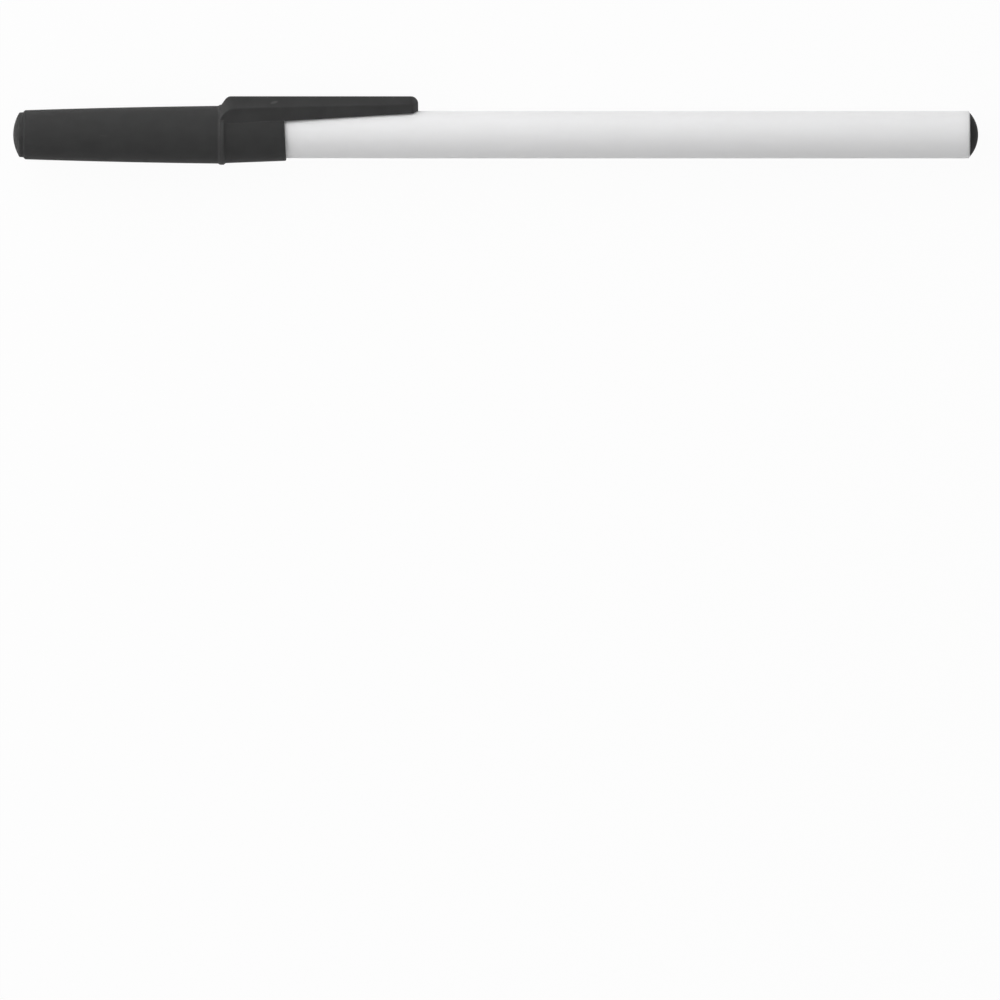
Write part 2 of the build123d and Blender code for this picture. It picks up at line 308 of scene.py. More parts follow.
def turned(profile, rounds=(), closed=False):
    """A bmesh turned about the pen's axis from points (place along the pen, radius).

    rounds gives (point's number, size) for each corner that is rounded before the turn.
    """
    bm = bmesh.new()
    points = [bm.verts.new((place, radius, axis_height)) for place, radius in profile]
    for start, end in zip(points, points[1:]):
        bm.edges.new((start, end))
    if closed:
        bm.edges.new((points[-1], points[0]))
    for number, size in rounds:
        round_off(bm, [points[number]], size, ROUND_STEPS, "VERTICES")
    bmesh.ops.spin(
        bm,
        geom=bm.verts[:] + bm.edges[:],
        cent=(0, 0, axis_height),
        axis=(1, 0, 0),
        angle=math.tau,
        steps=TURN_STEPS,
        use_merge=True,
    )
    bmesh.ops.remove_doubles(bm, verts=bm.verts[:], dist=WELD)
    bmesh.ops.recalc_face_normals(bm, faces=bm.faces[:])
    return bm


def swelling(start, end, bulge):
    """Points along an arc from start to end that rises by bulge in the middle of its chord."""
    chord = Vector(end) - Vector(start)
    radius = (chord.length_squared / 4 + bulge**2) / (2 * bulge)
    half = math.asin(chord.length / 2 / radius)
    out = Vector((-chord.y, chord.x)).normalized()
    centre = (Vector(start) + Vector(end)) / 2 - out * (radius - bulge)
    points = []
    for step in range(SWELL_STEPS + 1):
        turn = half * (2 * step / SWELL_STEPS - 1)
        spot = centre + out * radius * math.cos(turn) + chord.normalized() * radius * math.sin(turn)
        points.append((spot.x, spot.y))
    return points


def dome(apex, base, radius):
    """Points along a dome from its apex on the axis to its rim at base."""
    height = abs(base - apex)
    sphere = (radius**2 + height**2) / (2 * height)
    way = math.copysign(1, base - apex)
    widest = math.asin(radius / sphere)
    points = []
    for step in range(DOME_STEPS + 1):
        turn = widest * step / DOME_STEPS
        points.append((apex + way * sphere * (1 - math.cos(turn)), sphere * math.sin(turn)))
    return points


def mesh_object(bm, name):
    """An object in the scene with the bmesh as its mesh."""
    mesh = bpy.data.meshes.new(name)
    bm.to_mesh(mesh)
    bm.free()
    piece = bpy.data.objects.new(name, mesh)
    bpy.context.scene.collection.objects.link(piece)
    return piece


def finish_surface(piece, material):
    """Smooth shading that keeps flat faces flat, and the finish."""
    piece.data.materials.clear()
    piece.data.materials.append(material)
    piece.data.shade_smooth()
    piece.data.set_sharp_from_angle(angle=SHARP_ANGLE)
    weights = piece.modifiers.new("flat faces stay flat", "WEIGHTED_NORMAL")
    weights.keep_sharp = True


def combine(target, tool, operation):
    """Joins tool to target or cuts it away, and removes tool."""
    step = target.modifiers.new("combine", "BOOLEAN")
    step.operation = operation
    step.object = tool
    step.solver = "EXACT"
    graph = bpy.context.evaluated_depsgraph_get()
    mesh = bpy.data.meshes.new_from_object(target.evaluated_get(graph))
    bm = bmesh.new()
    bm.from_mesh(mesh)
    bmesh.ops.remove_doubles(bm, verts=bm.verts[:], dist=WELD)
    bm.to_mesh(mesh)
    bm.free()
    target.modifiers.clear()
    target.data = mesh
    mesh.name = target.name
    bpy.data.objects.remove(tool)


def feed(tree, node, values):
    """Sets each named input of the node, or links it where the value is another node's output."""
    for label, value in values.items():
        if isinstance(value, bpy.types.NodeSocket):
            tree.links.new(value, node.inputs[label])
        else:
            node.inputs[label].default_value = value


def add_node(tree, kind, values, **settings):
    """A new node with its settings, and its inputs set or linked."""
    node = tree.nodes.new(kind)
    for key, setting in settings.items():
        setattr(node, key, setting)
    feed(tree, node, values)
    return node


def object_place(tree):
    """The object's own coordinates."""
    return tree.nodes.new("ShaderNodeTexCoord").outputs["Object"]


def add_noise(tree, place, scale, detail, roughness=0.5):
    """A noise that is laid out in the coordinates of place."""
    values = {"Vector": place, "Scale": scale, "Detail": detail, "Roughness": roughness}
    return add_node(tree, "ShaderNodeTexNoise", values).outputs["Fac"]


def add_range(tree, value, low=0.0, high=1.0, from_low=0.3, from_high=0.7):
    """The value's middle range spread over low to high."""
    values = {"Value": value, "From Min": from_low, "From Max": from_high, "To Min": low, "To Max": high}
    return add_node(tree, "ShaderNodeMapRange", values).outputs["Result"]


def add_math(tree, operation, first, second=0.0, clamp=False):
    """One sum with sockets or numbers."""
    values = {0: first, 1: second}
    node = add_node(tree, "ShaderNodeMath", values, operation=operation, use_clamp=clamp)
    return node.outputs["Value"]


def moulded_grain(tree, entry):
    """Fine moulded texture: a height, and a slow unevenness of tone."""
    height = add_noise(tree, object_place(tree), entry["Grain"], detail=3.0)
    tone = add_noise(tree, object_place(tree), entry["Tone"], detail=4.0)
    return {"Height": add_range(tree, height), "Tone": add_range(tree, tone)}


def drawn_lines(tree, entry):
    """Faint lines along an extruded tube: a height, and a broader unevenness of tone."""
    spacing = {"X": entry["Along"], "Y": entry["Across"], "Z": entry["Across"]}
    factors = add_node(tree, "ShaderNodeCombineXYZ", spacing)
    values = {0: object_place(tree), 1: factors.outputs["Vector"]}
    stretch = add_node(tree, "ShaderNodeVectorMath", values, operation="MULTIPLY")
    height = add_noise(tree, stretch.outputs["Vector"], scale=1.0, detail=3.0)
    tone = add_noise(tree, stretch.outputs["Vector"], scale=0.3, detail=2.0)
    return {"Height": add_range(tree, height), "Tone": add_range(tree, tone)}


def edge_wear_and_sheen(tree, entry):
    """Outer edges lightened by hands and by a painted sheen: a mask, broken up by noise."""
    softened = add_node(tree, "ShaderNodeBevel", {"Radius": entry["Width"]}, samples=6)
    surface = tree.nodes.new("ShaderNodeNewGeometry")
    normals = {0: softened.outputs["Normal"], 1: surface.outputs["Normal"]}
    likeness = add_node(tree, "ShaderNodeVectorMath", normals, operation="DOT_PRODUCT")
    edge = add_math(tree, "SUBTRACT", 1.0, likeness.outputs["Value"])
    edge = add_math(tree, "MULTIPLY", edge, entry["Gain"], clamp=True)
    breaks = add_noise(tree, object_place(tree), entry["Breaks"], detail=4.0)
    broken = add_range(tree, breaks, low=0.2, high=1.0)
    return {"Mask": add_math(tree, "MULTIPLY", edge, broken)}


def scuffs(tree, entry):
    """Small scattered rub marks: a mask."""
    slanted = {"Vector": object_place(tree), "Rotation": (0.3, 0.2, 0.5), "Scale": (0.35, 1.0, 1.0)}
    slant = add_node(tree, "ShaderNodeMapping", slanted)
    marks = add_noise(tree, slant.outputs["Vector"], entry["Size"], detail=5.0, roughness=0.6)
    above = add_math(tree, "SUBTRACT", marks, entry["Rarity"])
    return {"Mask": add_math(tree, "MULTIPLY", above, entry["Gain"], clamp=True)}


def painted_shading_band(tree, entry):
    """A band round the pen, up to a height on the clip's side, where light or shade is painted: a mask that fades
    out at its rims.
    """
    parts = add_node(tree, "ShaderNodeSeparateXYZ", {"Vector": object_place(tree)})
    offset = add_math(tree, "SUBTRACT", parts.outputs["X"], entry["Middle"])
    away = add_math(tree, "ABSOLUTE", offset)
    core = add_math(tree, "DIVIDE", entry["Half"], 4.0)
    across = add_range(tree, away, 1.0, 0.0, core, entry["Half"])
    start = add_math(tree, "SUBTRACT", entry["End"], entry["Half"])
    below = add_range(tree, parts.outputs["Y"], 1.0, 0.0, start, entry["End"])
    return {"Mask": add_math(tree, "MULTIPLY", across, below)}


# what fills each shared group, and its inputs
GROUPS = {
    "Moulded grain": (moulded_grain, {"Grain": 9000.0, "Tone": 260.0}),
    "Drawn lines": (drawn_lines, {"Along": 30.0, "Across": 2200.0}),
    "Edge rub": (edge_wear_and_sheen, {"Width": 0.25 * MM, "Breaks": 900.0, "Gain": 6.0}),
    "Scuffs": (scuffs, {"Size": 420.0, "Rarity": 0.66, "Gain": 9.0}),
    "Painted band": (painted_shading_band, {"Middle": 0.0, "Half": 0.5 * MM, "End": 5.0 * MM}),
}


def shared_group(name):
    """The named shader node group, made the first time that it is asked for."""
    found = bpy.data.node_groups.get(name)
    if found:
        return found
    fill, inputs = GROUPS[name]
    tree = bpy.data.node_groups.new(name, "ShaderNodeTree")
    for label, value in inputs.items():
        socket = tree.interface.new_socket(label, in_out="INPUT", socket_type="NodeSocketFloat")
        socket.default_value = value
    results = fill(tree, tree.nodes.new("NodeGroupInput").outputs)
    for label in results:
        tree.interface.new_socket(label, in_out="OUTPUT", socket_type="NodeSocketFloat")
    add_node(tree, "NodeGroupOutput", results)
    return tree


def add_group(tree, name, **values):
    """The outputs of a node of the named group, with its own values."""
    return add_node(tree, "ShaderNodeGroup", values, node_tree=shared_group(name)).outputs


def add_painted_shading_band(tree, middle, half_width, end):
    """A mask for a band round the pen, up to a height on the clip's side; the script paints light with it in some
    places and shade in others.
    """
    return add_group(tree, "Painted band", Middle=middle, Half=half_width, End=end)["Mask"]


def add_bright_patch(tree, place, size, lean):
    """A mask for one small lighter patch that fades out at its rim."""
    laid = {"Vector": object_place(tree), "Location": place, "Rotation": (0.0, 0.0, lean), "Scale": size}
    local = add_node(tree, "ShaderNodeMapping", laid, vector_type="TEXTURE")
    away = add_node(tree, "ShaderNodeVectorMath", {0: local.outputs["Vector"]}, operation="LENGTH")
    return add_range(tree, away.outputs["Value"], 1.0, 0.0, from_low=0.5, from_high=1.0)


def new_material(name, values):
    """A material with its node tree and its surface shader, which takes the values."""
    material = bpy.data.materials.new(name)
    material.use_nodes = True
    tree = material.node_tree
    shader = tree.nodes["Principled BSDF"]
    feed(tree, shader, values)
    return material, tree, shader


def plastic(gloss, seep_share, seep_depth):
    """A plastic's values: how strongly it mirrors, and how much light seeps in and how far."""
    return {
        "Specular IOR Level": gloss,
        "Subsurface Weight": seep_share,
        "Subsurface Radius": (1.0, 1.0, 1.0),
        "Subsurface Scale": seep_depth,
    }


def shade_of(tone, factor):
    """The colour, lighter or darker by factor."""
    return (*(min(1.0, part * factor) for part in tone), 1.0)


def add_mix(tree, mask, first, second):
    """A colour that goes from first to second as the mask rises."""
    mix = tree.nodes.new("ShaderNodeMix")
    mix.data_type = "RGBA"
    low, high = (number for number, socket in enumerate(mix.inputs) if socket.type == "RGBA")
    feed(tree, mix, {"Factor": mask, low: first, high: second})
    return next(socket for socket in mix.outputs if socket.type == "RGBA")


def set_skin(tree, shader, tone, rough, height, depth, strength):
    """Gives the shader its colour, its roughness and a fine relief."""
    relief = {"Strength": strength, "Distance": depth, "Height": height}
    bump = add_node(tree, "ShaderNodeBump", relief)
    feed(tree, shader, {"Base Color": tone, "Roughness": rough, "Normal": bump.outputs["Normal"]})


def satin_white_plastic(white):
    """Drawn white tube: satin, with faint lines along it."""
    values = plastic(gloss=0.16, seep_share=1.0, seep_depth=2.0 * MM)
    material, tree, shader = new_material("Satin white plastic", values)
    lines = add_group(tree, "Drawn lines", Along=30.0, Across=2200.0)
    grain = add_group(tree, "Moulded grain", Grain=5200.0, Tone=140.0)
    # The edge mask lightens the tube's edges as a painted highlight.
    bright = add_group(tree, "Edge rub", Width=0.15 * MM, Gain=6.0)
    duller, plain, brightened = (shade_of(white, factor) for factor in (0.985, 1.0, 1.18))
    tone = add_mix(tree, grain["Tone"], duller, plain)
    tone = add_mix(tree, bright["Mask"], tone, brightened)
    rough = add_range(tree, lines["Tone"], low=0.42, high=0.52)
    height = add_math(tree, "ADD", lines["Height"], grain["Height"])
    set_skin(tree, shader, tone, rough, height, depth=0.004 * MM, strength=0.35)
    return material


def textured_black_plastic(name, black, marks, gloss, rough_low, rough_high, depth):
    """Moulded black plastic: satin, with a fine grain, edges lightened by hands and by a painted sheen, and a few
    scuffs.

    marks gives, for each place with painted light, painted shade or a plain lighter patch, how many times lighter
    it is, the function that adds its mask and that function's sizes.
    """
    values = plastic(gloss, seep_share=0.8, seep_depth=0.6 * MM)
    material, tree, shader = new_material(name, values)
    grain = add_group(tree, "Moulded grain", Grain=8200.0, Tone=320.0)
    bright = add_group(tree, "Edge rub", Width=0.22 * MM, Gain=14.0)
    scuff = add_group(tree, "Scuffs", Size=420.0, Rarity=0.70)
    # The edge tone is lighter partly for rubbing wear and partly as a painted sheen.
    darker, lighter, scuffed, brightened = (shade_of(black, factor) for factor in (0.92, 1.08, 1.7, 1.9))
    tone = add_mix(tree, grain["Tone"], darker, lighter)
    tone = add_mix(tree, scuff["Mask"], tone, scuffed)
    tone = add_mix(tree, bright["Mask"], tone, brightened)
    for factor, add_mask, *sizes in marks:
        tone = add_mix(tree, add_mask(tree, *sizes), tone, shade_of(black, factor))
    rough = add_range(tree, grain["Tone"], rough_low, rough_high, from_low=0.0, from_high=1.0)
    rub_polish = 0.12
    smoother = add_math(tree, "MULTIPLY", bright["Mask"], rub_polish)
    rough = add_math(tree, "SUBTRACT", rough, smoother)
    set_skin(tree, shader, tone, rough, grain["Height"], depth, strength=0.4)
    return material


def turned_brass(brass):
    """Turned brass: fine rings from the lathe, a little tarnish."""
    material, tree, shader = new_material("Turned brass", {"Metallic": 1.0})
    spacing = {"Vector": object_place(tree), "Scale": (22000.0, 120.0, 120.0)}
    packed = add_node(tree, "ShaderNodeMapping", spacing)
    rings = add_noise(tree, packed.outputs["Vector"], scale=1.0, detail=2.0)
    tarnish = add_group(tree, "Moulded grain", Grain=9000.0, Tone=900.0)
    tone = add_mix(tree, tarnish["Tone"], shade_of(brass, 0.82), shade_of(brass, 1.0))
    rough = add_range(tree, rings, low=0.2, high=0.38)
    set_skin(tree, shader, tone, rough, rings, depth=0.003 * MM, strength=0.2)
    return material


def polished_ball(ball):
    """Hard polished ball with a faint lapped unevenness."""
    material, tree, shader = new_material("Polished ball", {"Metallic": 1.0})
    lap = add_group(tree, "Moulded grain", Grain=30000.0, Tone=6000.0)
    tone = add_mix(tree, lap["Tone"], shade_of(ball, 0.92), shade_of(ball, 1.0))
    rough = add_range(tree, lap["Tone"], 0.1, 0.2, from_low=0.0, from_high=1.0)
    set_skin(tree, shader, tone, rough, lap["Height"], depth=0.001 * MM, strength=0.3)
    return material


def milky_tube(tube):
    """Translucent tube with faint lines along it."""
    values = {"Transmission Weight": 0.6, "IOR": 1.48}
    material, tree, shader = new_material("Milky tube", values)
    lines = add_group(tree, "Drawn lines", Along=25.0, Across=3200.0)
    tone = add_mix(tree, lines["Tone"], shade_of(tube, 0.96), shade_of(tube, 1.0))
    rough = add_range(tree, lines["Tone"], low=0.28, high=0.4)
    set_skin(tree, shader, tone, rough, lines["Height"], depth=0.003 * MM, strength=0.3)
    return material


def wet_ink(ink):
    """Thick ink: wet and nearly black, with slow swirls."""
    material, tree, shader = new_material("Wet ink", {})
    swirl = add_group(tree, "Moulded grain", Grain=2500.0, Tone=700.0)
    tone = add_mix(tree, swirl["Tone"], shade_of(ink, 1.0), shade_of(ink, 1.5))
    rough = add_range(tree, swirl["Tone"], 0.08, 0.18, from_low=0.0, from_high=1.0)
    set_skin(tree, shader, tone, rough, swirl["Height"], depth=0.004 * MM, strength=0.2)
    return material


def trim_black(plugs):
    """The plugs' and the nose cone's plastic, made once, with painted light on the cap plug's neck."""
    name = "Smooth black plastic"
    neck_middle = shell_end - plugs.neck_length / 2
    # the neck's band is painted light that lifts the shade in its recess
    marks = ((plugs.neck_light_tone, add_painted_shading_band, neck_middle, plugs.neck_light_half, collar_radius),)
    values = {"gloss": 0.04, "rough_low": 0.70, "rough_high": 0.78, "depth": 0.002 * MM}
    found = bpy.data.materials.get(name)
    return found or textured_black_plastic(name, plugs.black, marks, **values)


class PEN_OT_barrel(bpy.types.Operator):
    """Turn the white barrel"""

    bl_idname = "pen.barrel"
    bl_label = "Barrel"

    def execute(self, context):
        sizes = context.scene.pen_barrel
        bore = sizes.radius - sizes.wall
        front_radius = sizes.radius - sizes.draft
        profile = (
            (barrel_front, bore),
            (barrel_front, front_radius - sizes.front_edge),
            (barrel_front + sizes.front_edge, front_radius),
            (straight_start, sizes.radius),
            (barrel_rear - sizes.rim_length, sizes.radius),
            (barrel_rear, sizes.radius - sizes.rim_depth),
            (barrel_rear, bore),
        )
        rounds = [(number, sizes.edge_round) for number in (0, 1, 2, 4, 5, 6)]
        piece = mesh_object(turned(profile, rounds, closed=True), "barrel_tube")
        finish_surface(piece, satin_white_plastic(sizes.white))
        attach(piece, "pen")
        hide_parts("barrel")
        return {"FINISHED"}


class PEN_OT_end_plug(bpy.types.Operator):
    """Turn the domed plug in the barrel's rear end"""

    bl_idname = "pen.end_plug"
    bl_label = "End plug"

    def execute(self, context):
        sizes = context.scene.pen_plugs
        barrel = context.scene.pen_barrel
        shank = barrel.radius - barrel.wall - sizes.press_gap
        profile = dome(rear_end, barrel_rear, end_head_radius) + [
            (barrel_rear, shank),
            (end_shank + sizes.shank_edge, shank),
            (end_shank, shank - sizes.shank_edge),
            (end_shank, 0.0),
        ]
        piece = mesh_object(turned(profile), "rear_plug")
        finish_surface(piece, trim_black(sizes))
        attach(piece, "pen")
        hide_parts("end_plug")
        return {"FINISHED"}


class PEN_OT_cap_plug(bpy.types.Operator):
    """Turn the domed plug in the cap's closed end"""

    bl_idname = "pen.cap_plug"
    bl_label = "Cap plug"

    def execute(self, context):
        sizes = context.scene.pen_plugs
        cap = context.scene.pen_cap
        shank = cap.end_radius - cap.end_wall - sizes.press_gap
        rim = shell_end - sizes.neck_length
        profile = dome(cap_end, rim, cap_neck_radius - sizes.neck_draft) + [
            (shell_end, cap_neck_radius),
            (shell_end, shank),
            (cap_shank - sizes.shank_edge, shank),
            (cap_shank, shank - sizes.shank_edge),
            (cap_shank, 0.0),
        ]
        piece = mesh_object(turned(profile, [(DOME_STEPS, sizes.edge_round)]), "cap_end_plug")
        finish_surface(piece, trim_black(sizes))
        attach(piece, "cap")
        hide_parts("cap_plug")
        return {"FINISHED"}


class PEN_OT_nose_cone(bpy.types.Operator):
    """Turn the nose cone that holds the point and the tube"""

    bl_idname = "pen.nose_cone"
    bl_label = "Nose cone"

    def execute(self, context):
        sizes = context.scene.pen_refill
        barrel = context.scene.pen_barrel
        spigot = barrel.radius - barrel.wall - sizes.press_gap
        point_bore = sizes.shank_radius + sizes.press_gap
        tube_socket = tube_radius + sizes.press_gap
        base = barrel_front - sizes.nose_base_length
        tip_radius = point_radius + sizes.nose_tip_wall
        taper = swelling((nose_tip, tip_radius), (base, nose_base_radius), sizes.nose_bulge)
        profile = taper + [
            (barrel_front, nose_base_radius),
            (barrel_front, spigot),
            (nose_rear, spigot),
            (nose_rear, tube_socket),
            (tube_front, tube_socket),
            (tube_front, sizes.passage_radius),
            (point_rear, sizes.passage_radius),
            (point_rear, point_bore),
            (nose_tip, point_bore),
        ]
        rounds = [(0, sizes.edge_round), (SWELL_STEPS + 1, sizes.edge_round / 2)]
        piece = mesh_object(turned(profile, rounds, closed=True), "nose_holder")
        finish_surface(piece, trim_black(context.scene.pen_plugs))
        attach(piece, "pen")
        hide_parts("nose_cone")
        return {"FINISHED"}


class PEN_OT_brass_point(bpy.types.Operator):
    """Turn the brass point, with its lip rolled over the ball"""

    bl_idname = "pen.brass_point"
    bl_label = "Brass point"

    def execute(self, context):
        sizes = context.scene.pen_refill
        socket = ball_radius + sizes.ball_clearance
        lip_bore = math.sqrt(socket**2 - (ball_place.x - point_lip) ** 2)
        lip_radius = lip_bore + sizes.lip_wall
        seat = ball_place.x + math.sqrt(socket**2 - sizes.feed_radius**2)
        cone_end = point_lip + sizes.cone_length
        crimp_end = point_lip + sizes.crimp_length
        crimp_share = sizes.crimp_length / sizes.cone_length
        crimp_radius = lip_radius + (point_radius - lip_radius) * crimp_share
        first = math.atan2(lip_bore, point_lip - ball_place.x)
        last = math.atan2(sizes.feed_radius, seat - ball_place.x)
        profile = []
        for step in range(SWELL_STEPS + 1):
            turn = last + (first - last) * step / SWELL_STEPS
            profile.append((ball_place.x + socket * math.cos(turn), socket * math.sin(turn)))
        profile += [
            (point_lip, lip_radius - sizes.crimp_depth),
            (crimp_end, crimp_radius - sizes.crimp_depth),
            (crimp_end + sizes.crimp_depth, crimp_radius),
            (cone_end, point_radius),
            (nose_tip, point_radius),
            (nose_tip, sizes.shank_radius),
            (point_rear, sizes.shank_radius),
            (point_rear, sizes.feed_radius),
        ]
        piece = mesh_object(turned(profile, closed=True), "point_socket")
        finish_surface(piece, turned_brass(sizes.brass))
        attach(piece, "pen")
        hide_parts("brass_point")
        return {"FINISHED"}


class PEN_OT_ball(bpy.types.Operator):
    """Make the writing ball"""

    bl_idname = "pen.ball"
    bl_label = "Ball"

    def execute(self, context):
        bm = bmesh.new()
        bmesh.ops.create_uvsphere(
            bm,
            u_segments=2 * BALL_STEPS,
            v_segments=BALL_STEPS,
            radius=ball_radius,
            matrix=Matrix.Translation(ball_place),
        )
        piece = mesh_object(bm, "point_ball")
        finish_surface(piece, polished_ball(context.scene.pen_refill.ball))
        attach(piece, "ball")
        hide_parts("writing_ball")
        return {"FINISHED"}


class PEN_OT_ink(bpy.types.Operator):
    """Finish the ink tube and the ink, which stay inside the barrel"""

    bl_idname = "pen.ink"
    bl_label = "Ink tube and ink"

    def execute(self, context):
        colours = context.scene.pen_refill
        finishes = {"ink_tube": milky_tube(colours.tube), "ink": wet_ink(colours.ink)}
        for node, material in finishes.items():
            frame["nodes"][node].material_slots[0].material = material
        return {"FINISHED"}


def clip_outline(cap, clip, halves, bevels, sink, ramp, setback):
    """Corners of one upright outline of the clip, which lies below the flat top by its bevels."""
    start = cap_collar_place(cap)
    whole = clip_tip - start
    root_half, tip_half = halves
    bevel_root, bevel_tip = bevels
    rise = math.sqrt(collar_radius**2 - root_half**2) - sink
    slope = (bevel_root - bevel_tip) / whole
    knee = (clip_top - bevel_root - rise) / (math.tan(ramp) - slope)
    tip = whole - setback
    foot = clip.root_foot + (clip.tip_foot - clip.root_foot) * tip / whole
    corners = (
        (0.0, clip.root_foot),
        (0.0, rise),
        (knee, clip_top - bevel_root + slope * knee),
        (tip, clip_top - bevel_root + slope * tip),
        (tip, foot),
    )
    places = []
    for along, up in corners:
        half = root_half + (tip_half - root_half) * along / whole
        places.append(Vector((start + along, up, half)))
    return places


def round_size(before, corner, after, radius):
    """How far from a corner an arc of that radius starts."""
    turn = (corner - before).angle(after - corner)
    return radius * math.tan(turn / 2)


def cap_mouth_place(cap):
    """Where the mouth's plane crosses the axis."""
    return clip_hinge.x + clip_top * math.tan(cap.mouth_slant)


def cap_collar_place(cap):
    """Where the collar's near edge is."""
    return cap_mouth_place(cap) - cap.collar_to_mouth


def clip_root_half(cap, clip):
    """Half the clip's width across its side faces, at the collar."""
    return cap.skirt_bore + cap.root_wall - clip.inset


def clip_bevel_place(cap, clip, setback, drop):
    """A place on the clip's upper bevel, so far back from the mouth and so far down from the top."""
    along = cap.collar_to_mouth - setback
    share = along / (clip_tip - cap_collar_place(cap))
    side_root = clip_root_half(cap, clip)
    half = side_root + (clip.tip_width / 2 - side_root) * share
    bevel = clip.bevel_root + (clip.bevel_tip - clip.bevel_root) * share
    return (cap_mouth_place(cap) - setback, clip_top - drop, axis_height + half - bevel + drop)


def lean_mouth(bm, cap, reach_back):
    """Leans the vertices about the mouth back on the clip's side."""
    mouth = cap_mouth_place(cap)
    for vert in bm.verts:
        if abs(vert.co.x - mouth) < reach_back:
            vert.co.x -= vert.co.y * math.tan(cap.mouth_slant)


def solid_cap(cap):
    """The cap's outer form, without its bore."""
    mouth = cap_mouth_place(cap)
    collar = cap_collar_place(cap)
    skirt = collar + cap.collar_width
    body_front = collar_radius - cap.collar_height
    body = swelling((shell_end + cap.end_edge_length, cap.end_radius), (collar, body_front), cap.bulge)
    profile = [(shell_end, 0.0), (shell_end, cap.end_radius - cap.end_edge_depth)]
    profile += body
    profile += [
        (collar + cap.collar_edge, collar_radius),
        (skirt - cap.collar_edge, collar_radius),
        (skirt, cap.skirt_bore + cap.root_wall),
        (mouth, cap.skirt_bore + cap.mouth_wall),
        (mouth, 0.0),
    ]
    first_ring = 2 + SWELL_STEPS
    rounds = [(number, cap.edge_round) for number in (1, 2, first_ring, first_ring + 3)]
    rounds += [(number, cap.collar_round) for number in (first_ring + 1, first_ring + 2)]
    rounds.append((first_ring + 4, cap.lip_round))
    bm = turned(profile, rounds)
    lean_mouth(bm, cap, cap.lip_round * 2)
    return mesh_object(bm, "cap_with_clip")


def cap_bore(cap, clip, plugs):
    """The space that is bored out of the cap and from under the clip."""
    mouth = cap_mouth_place(cap)
    shoulder = mouth - cap.skirt_depth
    end_bore = cap.end_radius - cap.end_wall
    hollow = barrel_radius + clip.gap
    profile = (
        (shell_end - BORE_SPARE, 0.0),
        (shell_end - BORE_SPARE, end_bore),
        (cap_shank + plugs.shank_edge, end_bore),
        (shoulder, cap.seat_bore),
        (shoulder, cap.skirt_bore),
        (mouth - cap.lip_flare, cap.skirt_bore),
        (mouth + MOUTH_STEP, cap.skirt_bore + cap.lip_flare + MOUTH_STEP),
        (mouth + MOUTH_STEP, hollow),
        (clip_tip + BORE_SPARE, hollow),
        (clip_tip + BORE_SPARE, 0.0),
    )
    bm = turned(profile)
    lean_mouth(bm, cap, cap.lip_flare * 2)
    return mesh_object(bm, "cap_bore")


def clip_wedge(cap, clip):
    """The clip before it is bored: four upright outlines, bridged."""
    sides = (clip_root_half(cap, clip), clip.tip_width / 2)
    bevels = (clip.bevel_root, clip.bevel_tip)
    tops = [half - bevel for half, bevel in zip(sides, bevels)]
    side = clip_outline(cap, clip, sides, bevels, clip.side_sink, clip.side_ramp, clip.side_setback)
    top = clip_outline(cap, clip, tops, (0.0, 0.0), clip.top_sink, clip.top_ramp, 0.0)
    side_rounds = (clip.side_ramp_round, clip.side_tip_round)
    top_rounds = (clip.top_ramp_round, clip.top_tip_round)
    bm = bmesh.new()
    loops = []
    feet = []
    for corners, radii, hand in (
        (side, side_rounds, -1),
        (top, top_rounds, -1),
        (top, top_rounds, 1),
        (side, side_rounds, 1),
    ):
        known = set(bm.edges)
        verts = [bm.verts.new((c.x, c.y, axis_height + hand * c.z)) for c in corners]
        edges = [bm.edges.new(ends) for ends in zip(verts, verts[1:] + verts[:1])]
        feet.append(edges[-1])
        sizes = [round_size(*corners[n - 1 : n + 2], radius) for n, radius in zip((2, 3), radii)]
        for vert, size in zip(verts[2:4], sizes):
            round_off(bm, [vert], size, 2 * ROUND_STEPS, "VERTICES")
        loops.append([edge for edge in bm.edges if edge not in known])
    for first, second in zip(loops, loops[1:]):
        bmesh.ops.bridge_loops(bm, edges=first + second)
    for loop in (loops[0], loops[-1]):
        bmesh.ops.contextual_create(bm, geom=loop)
    bmesh.ops.recalc_face_normals(bm, faces=bm.faces[:])
    start = cap_collar_place(cap)
    outer = [
        edge
        for loop in loops
        for edge in loop
        if edge not in feet and max(v.co.x for v in edge.verts) > start + WELD
    ]
    round_off(bm, outer, clip.edge_round, EDGE_STEPS, "EDGES")
    place = cap_mouth_place(cap) + clip.flex_start
    while place < clip_tip - clip.side_setback - clip.loop_gap:
        bmesh.ops.bisect_plane(
            bm,
            geom=bm.verts[:] + bm.edges[:] + bm.faces[:],
            dist=WELD,
            plane_co=(place, 0, 0),
            plane_no=(1, 0, 0),
        )
        place += clip.loop_gap
    return mesh_object(bm, "clip_wedge")


